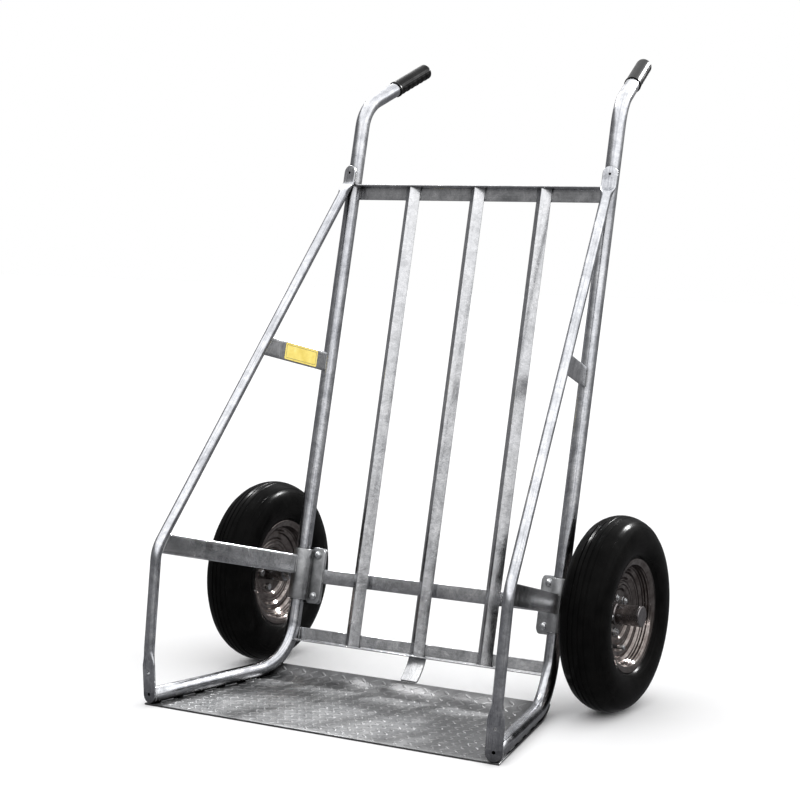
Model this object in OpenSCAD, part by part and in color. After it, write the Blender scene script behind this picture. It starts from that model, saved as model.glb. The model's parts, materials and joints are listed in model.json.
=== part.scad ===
// Two-wheeled sack truck: bent-tube frame with splayed side frames, brace tubes,
// angle-iron slats and crossbars, tread-plate toe, pneumatic wheels on a clamped axle.
// Millimetres. X across, -Y is the load side, +Z up. Z = 0 is the floor.

/* [Frame] */
// distance between the two upright centrelines
upright_spacing = 625; // [600:1:650]
// backward lean of the uprights in degrees
lean = 14; // [13:0.5:15]
// outward turn of each side frame about its upright in degrees
splay = 12; // [11:0.5:13]
// outer diameter of the main tubes
main_d = 32; // [31:0.5:33]
// outer diameter of the brace tubes
brace_d = 22; // [20:0.5:23]
// wall of all frame tubes
tube_wall = 2.5; // [2:0.25:3]
// bend radius of the main tube at the toe
toe_bend_r = 115; // [105:1:120]
// bend radius of the main tube at the handle
handle_bend_r = 90; // [80:1:95]
// length of the hand grips
grip_l = 118; // [110:1:124]

/* [Toe plate] */
// front edge half width
toe_front_half = 405; // [400:1:410]
// back edge half width
toe_back_half = 318; // [314:1:322]
// plate thickness
toe_t = 4; // [3:0.5:5]

/* [Crossbars] */
// crossbar height
bar_h = 30; // [28:1:32]
// crossbar angle thickness
bar_t = 3; // [3:0.5:4]
// leg of the slat angle
slat_leg = 25; // [24:0.5:26]
// spacing of the three slats
slat_pitch = 160; // [150:1:165]
// height of the flat side bars
side_bar_h = 42; // [38:1:45]
// centre height of the lower side bars, and how far the left one is welded above and the right one below it
lower_bar_s = 22; // [18:1:26]
lower_bar_skew = 8; // [0:1:8]

/* [Wheels] */
// outer tyre diameter
wheel_d = 400; // [398:1:402]
// tyre section width
tyre_w = 102; // [98:1:104]
// wheel centre from the middle of the truck
wheel_x = 421.5; // [420:0.5:426]

/* [Hidden] */
main_r = main_d / 2;
brace_r = brace_d / 2;
wr = wheel_d / 2;
hx = upright_spacing / 2;
// upright centreline, measured from the axle at axle height
up_y = -44.7;
// toe tube slopes this much inside the side frame's plane so that it lies level
alpha = atan(cos(splay) * tan(lean));
toe_z = toe_t + main_r;
s_bot = (toe_z - wr) / cos(lean);
// (t, s) positions inside the side frame: t forward, s up along the upright
t_toe = 383;
e_toe = [t_toe, s_bot - t_toe * tan(alpha)];
s_top = 1067;
hand_ang = 52.6;
hand_l = 229.5;
grip_start = 113;
brace_top = [18.5 + (main_r - 16), 888];
brace_bend = [426, 16];
brace_low = [405.5, -185];
brace_bend_r = 80;
bar_s_top = 886;
bar_s_low = -134;
bar_back = -10;
ax_s = -up_y * sin(lean);
ax_t = up_y * cos(lean);
axle_r = 10;
grip_end = [-(hand_l + 3) * sin(hand_ang), s_top + (hand_l + 3) * cos(hand_ang)];
// rearmost and foremost points decide where Y = 0 sits
y_rear = up_y + grip_end[1] * sin(lean) - grip_end[0] * cos(lean) * cos(splay) + 11.5;
y_front = up_y + e_toe[1] * sin(lean) - e_toe[0] * cos(lean) * cos(splay) - 9.2;
axle_y = -(y_rear + y_front) / 2;
steel = [0.66, 0.68, 0.7];
zinc = [0.75, 0.76, 0.77];
black = [0.05, 0.05, 0.05];
$fn = 48;

// ---------- frames of reference ----------
// leaning frame: Z runs up the uprights, -Y points forward, origin on the axle height
module leaning() { translate([0, axle_y + up_y, wr]) rotate([-lean, 0, 0]) children(); }
// side frame: as above, on one upright and turned outward
module side(s) {
  if (s > 0) leaning() translate([hx, 0, 0]) rotate([0, 0, splay]) children();
  else mirror([1, 0, 0]) leaning() translate([hx, 0, 0]) rotate([0, 0, splay]) children();
}
// wheel frame: +X points outward from the wheel's middle plane
module wheel_at(s) {
  if (s > 0) translate([wheel_x, axle_y, wr]) children();
  else mirror([1, 0, 0]) translate([wheel_x, axle_y, wr]) children();
}
module x_cyl(x0, x1, r) { translate([x0, 0, 0]) rotate([0, 90, 0]) cylinder(r = r, h = x1 - x0); }
module x_ring(x0, x1, ro, ri) {
  difference() { x_cyl(x0, x1, ro); x_cyl(x0 - 1, x1 + 1, ri); }
}

// ---------- main tube ----------
tb = toe_bend_r * tan((90 - alpha) / 2);
th = handle_bend_r * tan(hand_ang / 2);
// bend that leaves an upright going down and forward, centre of the bend at the origin
module elbow_down(R, a, r) { rotate([-90, 0, 90]) rotate_extrude(angle = a) translate([R, 0]) circle(r = r); }
// bend on the front side of its centre, from angle a0 through a, upward
module elbow_up(R, a0, a, r) { rotate([90, 0, -90]) rotate([0, 0, a0]) rotate_extrude(angle = a) translate([R, 0]) circle(r = r); }
// x lengthens both ends, for the bore; each bend is a hair thicker and swallows the straight ends
module main_path(r, x) {
  translate([0, -e_toe[0], e_toe[1]]) rotate([alpha - 90, 0, 0]) translate([0, 0, -x]) cylinder(r = r, h = t_toe / cos(alpha) - tb + x + 1);
  translate([0, -toe_bend_r, s_bot + tb]) elbow_down(toe_bend_r, 90 - alpha, r + 0.05);
  translate([0, 0, s_bot + tb - 1]) cylinder(r = r, h = s_top - th - s_bot - tb + 2);
  translate([0, handle_bend_r, s_top - th]) elbow_up(handle_bend_r, 0, hand_ang, r + 0.05);
  translate([0, (th - 1) * sin(hand_ang), s_top + (th - 1) * cos(hand_ang)]) rotate([-hand_ang, 0, 0])
    cylinder(r = r, h = hand_l - th + x + 1);
}
module main_tube() {
  difference() { main_path(main_r, 0); main_path(main_r - tube_wall, 1); }
}

// ---------- brace tube ----------
bt = brace_bend - brace_top;
bl = brace_low - brace_bend;
a1 = atan(bt[0] / -bt[1]);
a2 = atan(-bl[0] / -bl[1]);
l1 = norm(bt);
l2 = norm(bl);
bb = brace_bend_r * tan((a1 + a2) / 2);
bu = [bt[0] / l1, bt[1] / l1];
// centre of the brace's bend
bc = [brace_bend[0] - bb * bu[0] - brace_bend_r * cos(a1), brace_bend[1] - bb * bu[1] - brace_bend_r * sin(a1)];
module brace_path(r) {
  translate([0, -brace_top[0] - 34 * bu[0], brace_top[1] + 34 * bu[1]]) rotate([180 - a1, 0, 0])
    cylinder(r = r, h = l1 - bb - 33);
  translate([0, -bc[0], bc[1]]) elbow_up(brace_bend_r, -a2, a1 + a2, r + 0.05);
  translate([0, -brace_low[0], brace_low[1]]) rotate([a2, 0, 0]) cylinder(r = r, h = l2 - bb + 1);
}
// flattened tab: width w, thickness 5, round end of radius w/2 - it rises from z = 0
module tab(w, l) {
  difference() {
    union() {
      translate([-w / 2, -2.5, 0]) cube([w, 5, l - w / 2]);
      translate([0, 2.5, l - w / 2]) rotate([90, 0, 0]) cylinder(r = w / 2, h = 5);
    }
    children();
  }
}
module at_toe_end() { translate([0, -e_toe[0], e_toe[1]]) rotate([alpha, 0, 0]) children(); }
module brace_top_tab() {
  // flat against the front of the main tube
  translate([0, -main_r - 2.5, brace_top[1] - 2]) tab(32, 42)
    translate([0, 4, 25]) rotate([90, 0, 0]) cylinder(r = 3, h = 8);
  hull() {
    translate([-16.1, -main_r - 5.05, brace_top[1] - 4]) cube([32.2, 5.03, 3]);
    translate([0, -brace_top[0] - 34 * bu[0], brace_top[1] + 34 * bu[1]]) rotate([180 - a1, 0, 0])
      translate([0, 0, -1]) cylinder(r = brace_r + 0.1, h = 2);
  }
}
module foot() {
  at_toe_end() {
    // the foot hangs down in front of the tube end: flip the tab so the round end is at the bottom
    translate([0, -2.5, 62]) mirror([0, 0, 1]) tab(34, 77) {
      translate([0, 4, 15]) rotate([90, 0, 0]) cylinder(r = 3.5, h = 8);
      translate([0, 4, 59]) rotate([90, 0, 0]) cylinder(r = 3.5, h = 8);
    }
  }
  hull() {
    at_toe_end() translate([-17.1, -5.05, 61]) cube([34.2, 5.1, 3]);
    translate([0, -brace_low[0], brace_low[1]]) rotate([a2, 0, 0]) translate([0, 0, -1]) cylinder(r = brace_r + 0.1, h = 2);
  }
}
module brace_tube() {
  difference() { brace_path(brace_r); brace_path(brace_r - 2); }
  brace_top_tab();
  foot();
}

// ---------- side bars ----------
// t of the brace's back at height q
function brace_back(q) = min(brace_top[0] + (brace_top[1] - q) * tan(a1) - brace_r / cos(a1),
    brace_bend[0] - (brace_bend[1] - q) * tan(a2) - brace_r / cos(a2))
  - 3 * pow(max(0, 1 - abs(q - brace_bend[1]) / 26), 2) - 0.1;
// a bar ends where it meets the back of the brace
module side_bar(s0, t0) {
  rotate([0, 0, 90]) rotate([90, 0, 0]) translate([0, 0, -2.5]) linear_extrude(height = 5)
    polygon(concat([[-t0, s0 - side_bar_h / 2], [-t0, s0 + side_bar_h / 2]],
      [for (k = [6:-1:0]) [-brace_back(s0 - side_bar_h / 2 + k * side_bar_h / 6), s0 - side_bar_h / 2 + k * side_bar_h / 6]]));
}

// ---------- crossbars, slats, strap ----------
module uprights_solid() {
  for (m = [0, 1]) mirror([m, 0, 0]) translate([hx, 0, -200]) cylinder(r = main_r, h = 1200);
}
bar_half = hx - main_r + 6;
module angle_bar(s0, flange_s) {
  leaning() difference() {
    union() {
      translate([-bar_half, -bar_back - bar_t, s0]) cube([2 * bar_half, bar_t, bar_h]);
      translate([-bar_half, -bar_back - 25, flange_s]) cube([2 * bar_half, 25, bar_t]);
    }
    uprights_solid();
  }
}
slat_x = bar_back + bar_t;
module slat(k) {
  leaning() translate([k * slat_pitch, -slat_x - (slat_leg + 3) / sqrt(2), bar_s_low + bar_t]) rotate([0, 0, 45])
    linear_extrude(height = bar_s_top - bar_s_low - 2 * bar_t)
      polygon([[0, 0], [slat_leg, 0], [slat_leg, 3], [3, 3], [3, slat_leg], [0, slat_leg]]);
}
strap_r = 110;
strap_s = (toe_t + 2.5 - wr) / cos(lean) + 12.5 * tan(lean);
st = strap_r * tan((90 - lean) / 2);
strap_end = 33.6;
module strap() {
  leaning() difference() {
    union() {
      translate([-20, -bar_back, strap_s + st - 0.5]) cube([40, 5, bar_s_low + bar_h - strap_s - st + 0.5]);
      translate([0, -bar_back + 2.5 - strap_r, strap_s + st]) rotate([-90, 0, 90])
        rotate_extrude(angle = 90 - lean - strap_end) translate([strap_r - 2.55, -20.05]) square([5.1, 40.1]);
    }
    // notched round the lower crossbar
    translate([-30, -bar_back - 30, bar_s_low]) cube([60, 30, bar_h + 20]);
  }
}

// ---------- toe plate ----------
toe_front_y = y_front + 5.2;
// the back of the plate curls up along the underside of the tube bends
toe_curl_r = toe_bend_r + main_r;
toe_curl_y = up_y - (wr - toe_z) * tan(lean) - tb * cos(alpha) * cos(lean) * cos(splay) - tb * sin(alpha) * sin(lean);
toe_curl_a = 32.3;
toe_slope = (toe_front_half - toe_back_half) / (-48 - toe_front_y);
function toe_half(y) = toe_front_half - toe_slope * (y - toe_front_y);
module toe_outline(y0, y1, h) {
  linear_extrude(height = h)
    polygon([[-toe_half(y0), y0], [toe_half(y0), y0], [toe_half(y1), y1], [-toe_half(y1), y1]]);
}
module toe_plate_body() {
  translate([0, axle_y, 0]) {
    toe_outline(toe_front_y, toe_curl_y + 0.5, toe_t);
    intersection() {
      translate([0, toe_curl_y, toe_t + toe_curl_r]) rotate([-90, 0, 90]) rotate([0, 0, 90 - toe_curl_a])
        rotate_extrude(angle = toe_curl_a) translate([toe_curl_r - 0.05, -450]) square([toe_t + 0.1, 900]);
      translate([0, 0, -1]) toe_outline(toe_curl_y - 20, -48, 80);
    }
  }
}

// ---------- grips ----------
module grip() {
  translate([0, 0, s_top]) rotate([-hand_ang, 0, 0]) difference() {
    union() {
      translate([0, 0, grip_start]) cylinder(r = 18.5, h = 6);
      translate([0, 0, grip_start + 6]) cylinder(r = 17.8, h = hand_l + 3 - grip_start - 6);
    }
    translate([0, 0, grip_start - 1]) cylinder(r = main_r + 0.02, h = hand_l - grip_start + 1);
  }
}

// ---------- axle, brackets, clamps ----------
br_lo = ax_s - 61;
br_hi = ax_s + 61;
bolt_x = 32;
bolt_ds = 45;
module on_upright(s) {
  if (s > 0) leaning() translate([hx, 0, 0]) children();
  else mirror([1, 0, 0]) leaning() translate([hx, 0, 0]) children();
}
// front clamp: half-round saddle over the tube with a bolted ear on the inner side
module clamp() {
  difference() {
    union() {
      translate([0, 0, br_lo + 6]) cylinder(r = main_r + 4, h = 110);
      translate([-main_r - 33.5, main_r - 4, br_lo]) cube([main_r + 33.5, 4, 122]);
    }
    translate([0, 0, br_lo - 1]) cylinder(r = main_r, h = 124);
    translate([-main_r - 60, main_r, br_lo - 1]) cube([200, 60, 124]);
    translate([0, 0, br_lo - 1]) cube([60, 60, 124]);
    for (k = [-1, 1]) translate([-bolt_x, 0, ax_s + k * bolt_ds]) rotate([-90, 0, 0]) cylinder(r = 4.2, h = 40);
    // rounded ear corners
    for (k = [0, 1]) translate([-main_r - 33.5, main_r - 5, k ? br_hi : br_lo]) mirror([0, 0, k])
      difference() { translate([-1, 0, -1]) cube([11, 7, 11]); translate([10, -1, 10]) rotate([-90, 0, 0]) cylinder(r = 10, h = 9); }
  }
}
// rear bracket: plate behind the tube with two lugs that carry the axle
module axle_bracket() {
  difference() {
    union() {
      translate([-main_r - 33.5 + 8, main_r, br_lo]) cube([main_r + 33.5 + 14 - 8, 5, 122]);
      translate([-main_r - 33.5, main_r, br_lo + 8]) cube([20, 5, 106]);
      for (z = [8, 114]) translate([-main_r - 33.5 + 8, main_r, br_lo + z]) rotate([-90, 0, 0]) cylinder(r = 8, h = 5);
      for (x = [-24, 4]) lug(x);
    }
    for (k = [-1, 1]) translate([-bolt_x, 0, ax_s + k * bolt_ds]) rotate([-90, 0, 0]) cylinder(r = 4.2, h = 40);
    translate([-60, -ax_t, ax_s]) rotate([0, 90, 0]) cylinder(r = axle_r, h = 120);
  }
}
module lug(x) {
  translate([x, main_r + 5, ax_s - 20]) cube([6, -ax_t - main_r - 5, 40]);
  translate([x, -ax_t, ax_s]) rotate([0, 90, 0]) cylinder(r = 20, h = 6);
}
module clamp_bolt() {
  // round head in front, hexagon nut behind
  translate([0, main_r - 4, 0]) rotate([90, 0, 0]) cylinder(r = 7.5, h = 3);
  translate([0, main_r - 7, 0]) rotate([90, 0, 0]) cylinder(r = 5, h = 1.5);
  translate([0, main_r - 4, 0]) rotate([-90, 0, 0]) cylinder(r = 4, h = 18.5);
  translate([0, main_r + 5, 0]) rotate([-90, 0, 0]) cylinder(r = 7.5, h = 6.5, $fn = 6);
}
// ---------- wheel ----------
function nrm(a, b) = let (d = b - a, l = norm(d)) [-d[1] / l, d[0] / l];
function off_pt(p, i, t) = let (n = len(p),
    n1 = i > 0 ? nrm(p[i - 1], p[i]) : nrm(p[0], p[1]),
    n2 = i < n - 1 ? nrm(p[i], p[i + 1]) : nrm(p[n - 2], p[n - 1]))
  p[i] + (n1 + n2) * t / (1 + n1 * n2);
function shell(p, t) = concat(p, [for (i = [len(p) - 1:-1:0]) off_pt(p, i, t)]);
tw = tyre_w / 2;
// (offset from the middle plane, radius)
tyre_outer = [[33, 104.3], [34.3, 107.4], [36, 115.9], [40.5, 118.8], [45.6, 124.5], [49.6, 135], [tw, 150], [49.6, 163], [45.5, 175],
  [38.5, 185], [29, 192.5], [17, 197.8], [7, wr]];
tyre_inner = [[5, wr - 9], [15, wr - 11], [26, 183], [34, 176.5], [39.5, 168], [43, 158], [44, 149],
  [42.4, 137], [38, 126], [32.5, 117], [29, 103]];
function flip(p) = [for (i = [len(p) - 1:-1:0]) [-p[i][0], p[i][1]]];
tyre_prof = concat(tyre_outer, flip(tyre_outer));
cavity_prof = concat([for (i = [len(tyre_inner) - 1:-1:0]) tyre_inner[i]], flip([for (i = [len(tyre_inner) - 1:-1:0]) tyre_inner[i]]));
// revolve an (x, r) profile about the X axis
module turn(p) { rotate([0, 90, 0]) rotate_extrude() polygon([for (q = p) [q[1], q[0]]]); }
module tyre() { difference() { turn(tyre_prof); turn(cavity_prof); } }
tube_prof = [[4, wr - 9.6], [14.6, wr - 11.6], [25.4, 182.4], [33.4, 176], [38.9, 167.6], [42.4, 157.8], [43.4, 149],
  [41.8, 137.2], [37.4, 126.3], [31.9, 117.3], [26, 108]];
tube_void = [[4, wr - 11.6], [14, wr - 13.6], [24.4, 180.4], [32, 174.6], [37.2, 166.8], [40.5, 157.3], [41.4, 149],
  [39.9, 137.8], [35.7, 127.3], [30.4, 118.6], [25, 110]];
module inner_tube() {
  difference() {
    turn(concat(tube_prof, flip(tube_prof)));
    turn(concat(tube_void, flip(tube_void)));
    valve_place() cylinder(r = 4.05, h = 30, center = true);
  }
}
// rim half: lip, bead seat, steps down to the bolted disc
rim_pts = [[0, 21], [0, 50], [5, 54], [5, 72], [10, 77], [10, 90], [15, 95], [15, 101], [33.2, 104], [34.6, 107], [36.2, 115.6]];
module rim_half(hole) {
  difference() {
    turn(shell(rim_pts, -2.4));
    for (k = [0:4]) rotate([72 * k + 18, 0, 0]) translate([-1, 0, 37]) rotate([0, 90, 0]) cylinder(r = 4.1, h = 12);
    if (hole) valve_place() cylinder(r = 4.6, h = 80, center = true);
  }
}
module valve_place() { rotate([128, 0, 0]) translate([12, 0, 83.5]) rotate([0, 90, 0]) children(); }
module valve() {
  valve_place() {
    translate([0, 0, -9]) cylinder(r = 4, h = 38);
    translate([0, 0, 29]) cylinder(r = 4.6, h = 8);
  }
}
module hub() { x_ring(-46, 54, 21, 17.5); x_ring(-30, 26, 17.5, 15.5); }
module bearings() { x_ring(-46, -35, 17.5, axle_r + 0.05); x_ring(30, 41, 17.5, axle_r + 0.05); }
module rim_bolts() {
  for (k = [0:4]) rotate([72 * k + 18, 0, 0]) translate([0, 0, 37]) rotate([0, 90, 0]) {
    translate([0, 0, 2.4]) cylinder(r = 7.5, h = 5.3, $fn = 6);
    translate([0, 0, -9]) cylinder(r = 4, h = 11.4);
    translate([0, 0, -8.9]) cylinder(r = 7.5, h = 6.5, $fn = 6);
  }
}
module hub_cap() {
  x_cyl(54, 58.6, 21.4);
  x_ring(46, 54, 17.45, 15.5);
}

// ---------- nodes ----------
module left_main_tube() { color(steel) side(-1) main_tube(); }
module right_main_tube() { color(steel) side(1) main_tube(); }
module left_brace_tube() { color(steel) side(-1) brace_tube(); }
module right_brace_tube() { color(steel) side(1) brace_tube(); }
module top_crossbar() { color(steel) angle_bar(bar_s_top - bar_h, bar_s_top - bar_t); }
module lower_crossbar() {
  // its ends are also cut round the start of the toe bends
  color(steel) difference() {
    angle_bar(bar_s_low, bar_s_low);
    for (m = [-1, 1]) side(m) main_path(main_r, 0);
  }
}
module middle_crossbar() {
  color(steel) leaning() translate([-hx + main_r + 33.5, main_r, ax_s - 15.5])
    cube([2 * (hx - main_r - 33.5), 5, 31]);
}
module left_slat() { color(steel) slat(-1); }
module centre_slat() { color(steel) slat(0); }
module right_slat() { color(steel) slat(1); }
module centre_strap() { color(steel) strap(); }
module left_upper_bar() { color(steel) side(-1) side_bar(482, main_r); }
module right_upper_bar() { color(steel) side(1) side_bar(482, main_r); }
module left_lower_bar() { color(steel) side(-1) side_bar(lower_bar_s + lower_bar_skew, main_r + 4); }
module right_lower_bar() { color(steel) side(1) side_bar(lower_bar_s - lower_bar_skew, main_r + 4); }
module toe_plate() { color(steel) toe_plate_body(); }
module left_grip() { color(black) side(-1) grip(); }
module right_grip() { color(black) side(1) grip(); }
module axle() {
  color(zinc) translate([0, axle_y, wr]) {
    x_cyl(-wheel_x - 42, wheel_x + 42, axle_r);
    for (m = [0, 1]) mirror([m, 0, 0]) x_cyl(wheel_x + 42, wheel_x + 51.5, 6);
  }
}
module left_clamp() { color(steel) on_upright(-1) clamp(); }
module right_clamp() { color(steel) on_upright(1) clamp(); }
module left_axle_bracket() { color(steel) on_upright(-1) axle_bracket(); }
module right_axle_bracket() { color(steel) on_upright(1) axle_bracket(); }
module clamp_bolts() {
  color(zinc) for (m = [-1, 1], k = [-1, 1]) on_upright(m) translate([-bolt_x, 0, ax_s + k * bolt_ds]) clamp_bolt();
}
module axle_collars() {
  color(zinc) for (m = [-1, 1]) wheel_at(m) x_ring(-60, -46.6, 15, axle_r);
}
module axle_nuts() {
  color(zinc) for (m = [-1, 1]) wheel_at(m) {
    x_ring(42, 43.5, 13, 6);
    difference() { translate([43.5, 0, 0]) rotate([0, 90, 0]) cylinder(r = 11, h = 7, $fn = 6); x_cyl(43, 52, 6); }
  }
}
module blank_label() {
  color([0.95, 0.93, 0.7]) side(-1) translate([-2.9, -146, 482 - 19]) cube([0.4, 104, 38]);
}
module left_tyre() { color(black) wheel_at(-1) tyre(); }
module left_inner_tube() { color(black) wheel_at(-1) inner_tube(); }
module left_rim_outer() { color(zinc) wheel_at(-1) rim_half(true); }
module left_rim_inner() { color(zinc) wheel_at(-1) mirror([1, 0, 0]) rim_half(false); }
module left_hub() { color(zinc) wheel_at(-1) hub(); }
module left_bearings() { color(zinc) wheel_at(-1) bearings(); }
module left_rim_bolts() { color(zinc) wheel_at(-1) rim_bolts(); }
module left_valve() { color(black) wheel_at(-1) valve(); }
module left_hub_cap() { color(zinc) wheel_at(-1) hub_cap(); }
module right_tyre() { color(black) wheel_at(1) tyre(); }
module right_inner_tube() { color(black) wheel_at(1) inner_tube(); }
module right_rim_outer() { color(zinc) wheel_at(1) rim_half(true); }
module right_rim_inner() { color(zinc) wheel_at(1) mirror([1, 0, 0]) rim_half(false); }
module right_hub() { color(zinc) wheel_at(1) hub(); }
module right_bearings() { color(zinc) wheel_at(1) bearings(); }
module right_rim_bolts() { color(zinc) wheel_at(1) rim_bolts(); }
module right_valve() { color(black) wheel_at(1) valve(); }
module right_hub_cap() { color(zinc) wheel_at(1) hub_cap(); }

left_main_tube();
right_main_tube();
left_brace_tube();
right_brace_tube();
top_crossbar();
middle_crossbar();
lower_crossbar();
left_slat();
centre_slat();
right_slat();
centre_strap();
left_upper_bar();
right_upper_bar();
left_lower_bar();
right_lower_bar();
toe_plate();
left_grip();
right_grip();
axle();
left_clamp();
right_clamp();
left_axle_bracket();
right_axle_bracket();
clamp_bolts();
axle_collars();
axle_nuts();
blank_label();
left_tyre();
left_inner_tube();
left_rim_outer();
left_rim_inner();
left_hub();
left_bearings();
left_rim_bolts();
left_valve();
left_hub_cap();
right_tyre();
right_inner_tube();
right_rim_outer();
right_rim_inner();
right_hub();
right_bearings();
right_rim_bolts();
right_valve();
right_hub_cap();
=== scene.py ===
import json, math, random
import bpy, bmesh
from mathutils import Matrix, Vector, kdtree

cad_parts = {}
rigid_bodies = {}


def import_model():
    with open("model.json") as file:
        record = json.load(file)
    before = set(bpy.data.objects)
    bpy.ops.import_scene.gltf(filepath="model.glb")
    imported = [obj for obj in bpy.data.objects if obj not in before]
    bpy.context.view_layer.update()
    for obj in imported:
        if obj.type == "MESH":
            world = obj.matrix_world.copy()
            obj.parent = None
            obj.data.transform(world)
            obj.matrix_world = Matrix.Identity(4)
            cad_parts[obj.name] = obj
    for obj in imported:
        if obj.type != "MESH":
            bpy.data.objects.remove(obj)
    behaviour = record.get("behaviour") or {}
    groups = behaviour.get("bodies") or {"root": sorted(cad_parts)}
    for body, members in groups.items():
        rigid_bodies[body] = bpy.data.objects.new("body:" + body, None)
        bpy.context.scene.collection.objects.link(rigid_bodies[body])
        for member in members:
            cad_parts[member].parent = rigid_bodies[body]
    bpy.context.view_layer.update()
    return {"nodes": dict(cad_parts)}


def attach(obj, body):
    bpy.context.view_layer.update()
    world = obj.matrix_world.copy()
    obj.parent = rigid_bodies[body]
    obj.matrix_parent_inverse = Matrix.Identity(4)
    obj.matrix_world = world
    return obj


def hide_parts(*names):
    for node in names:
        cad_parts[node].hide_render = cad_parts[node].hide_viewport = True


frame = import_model()
random.seed(7)
MM = 0.001
rad = math.radians
sin, cos, tan, pi = math.sin, math.cos, math.tan, math.pi

# ---------------------------------------------------------------- sizes (millimetres, as in the CAD)
HX, LEAN, SPLAY, MR, BR = 312.5, 14.0, 12.0, 16.0, 11.0
WALL, TOE_R, HAND_R = 2.5, 115.0, 90.0
WR, UP_Y, AXLE_Y, WX = 200.0, -44.7, 25.243, 421.5
TOE_T, S_TOP, HAND_A, HAND_L, GRIP0 = 4.0, 1067.0, 52.6, 229.5, 113.0
ALPHA = math.degrees(math.atan(cos(rad(SPLAY)) * tan(rad(LEAN))))
S_BOT = (TOE_T + MR - WR) / cos(rad(LEAN))
E_TOE = (383.0, S_BOT - 383.0 * tan(rad(ALPHA)))
B_TOP, B_BEND, B_LOW, B_R = (18.5, 888.0), (426.0, 16.0), (405.5, -185.0), 80.0
BAR_H, BAR_T, BAR_TOP, BAR_LOW = 30.0, 3.0, 886.0, -134.0
AX_S, AX_T = -UP_Y * sin(rad(LEAN)), UP_Y * cos(rad(LEAN))

def T(x, y, z): return Matrix.Translation(Vector((x, y, z)))
def R(deg, ax): return Matrix.Rotation(rad(deg), 4, ax)
M_LEAN = T(0, AXLE_Y + UP_Y, WR) @ R(-LEAN, "X")
M_UP = M_LEAN @ T(HX, 0, 0)
M_SIDE = M_UP @ R(SPLAY, "Z")
M_FOOT = M_SIDE @ T(0, -E_TOE[0], E_TOE[1]) @ R(ALPHA, "X")
M_GRIP = M_SIDE @ T(0, 0, S_TOP) @ R(-HAND_A, "X")
M_WHEEL = T(WX, AXLE_Y, WR)
I4 = Matrix.Identity(4)

# ---------------------------------------------------------------- materials
def nt(name):
    m = bpy.data.materials.new(name)
    m.use_nodes = True
    return m, m.node_tree.nodes, m.node_tree.links, m.node_tree.nodes["Principled BSDF"]

def noise(N, L, vec, scale, detail=3.0, rough=0.55, dist=0.0):
    n = N.new("ShaderNodeTexNoise")
    n.inputs["Scale"].default_value = scale
    n.inputs["Detail"].default_value = detail
    n.inputs["Roughness"].default_value = rough
    n.inputs["Distortion"].default_value = dist
    L.new(vec, n.inputs["Vector"])
    return n.outputs["Fac"]

def ramp(N, L, fac, stops):
    r = N.new("ShaderNodeValToRGB")
    e = r.color_ramp.elements
    e[0].position, e[0].color = stops[0][0], (*stops[0][1], 1)
    e[1].position, e[1].color = stops[-1][0], (*stops[-1][1], 1)
    for p, c in stops[1:-1]:
        x = e.new(p)
        x.color = (*c, 1)
    L.new(fac, r.inputs["Fac"])
    return r.outputs["Color"]

def remap(N, L, fac, a, b, lo, hi):
    r = N.new("ShaderNodeMapRange")
    for i, v in enumerate((a, b, lo, hi)):
        r.inputs[i + 1].default_value = v
    L.new(fac, r.inputs[0])
    return r.outputs[0]

def mix(N, L, fac, a, b, kind="MIX"):
    m = N.new("ShaderNodeMix")
    m.data_type = "RGBA"
    m.blend_type = kind
    m.clamp_result = True
    for sock, v in ((m.inputs[0], fac), (m.inputs[6], a), (m.inputs[7], b)):
        if isinstance(v, (int, float)):
            sock.default_value = v
        elif isinstance(v, tuple):
            sock.default_value = (*v, 1)
        else:
            L.new(v, sock)
    return m.outputs[2]

def bump(N, L, B, h, dist, strength=1.0, below=None):
    b = N.new("ShaderNodeBump")
    b.inputs["Strength"].default_value = strength
    b.inputs["Distance"].default_value = dist
    L.new(h, b.inputs["Height"])
    if below is not None:
        L.new(below, b.inputs["Normal"])
    L.new(b.outputs["Normal"], B.inputs["Normal"])
    return b.outputs["Normal"]

def paint_occlusion_shade(N, L, base, dist, low, tint=(1.0, 1.0, 1.0), top=0.85):
    """Painted shade: darkens the base colour by ambient occlusion where surfaces meet or fold inward."""
    ao = N.new("ShaderNodeAmbientOcclusion")
    ao.samples = 6
    ao.inputs["Distance"].default_value = dist
    d = ramp(N, L, ao.outputs["AO"], [(0.30, tuple(low * t for t in tint)), (top, (1, 1, 1))])
    return mix(N, L, 1.0, base, d, "MULTIPLY")

def coord(N, L, flow):
    if flow:
        a = N.new("ShaderNodeAttribute")
        a.attribute_name = "flow"
        return a.outputs["Vector"]
    c = N.new("ShaderNodeTexCoord")
    return c.outputs["Object"]

def stretch(N, L, vec, s):
    m = N.new("ShaderNodeMapping")
    m.inputs["Scale"].default_value = s
    L.new(vec, m.inputs["Vector"])
    return m.outputs["Vector"]

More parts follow.
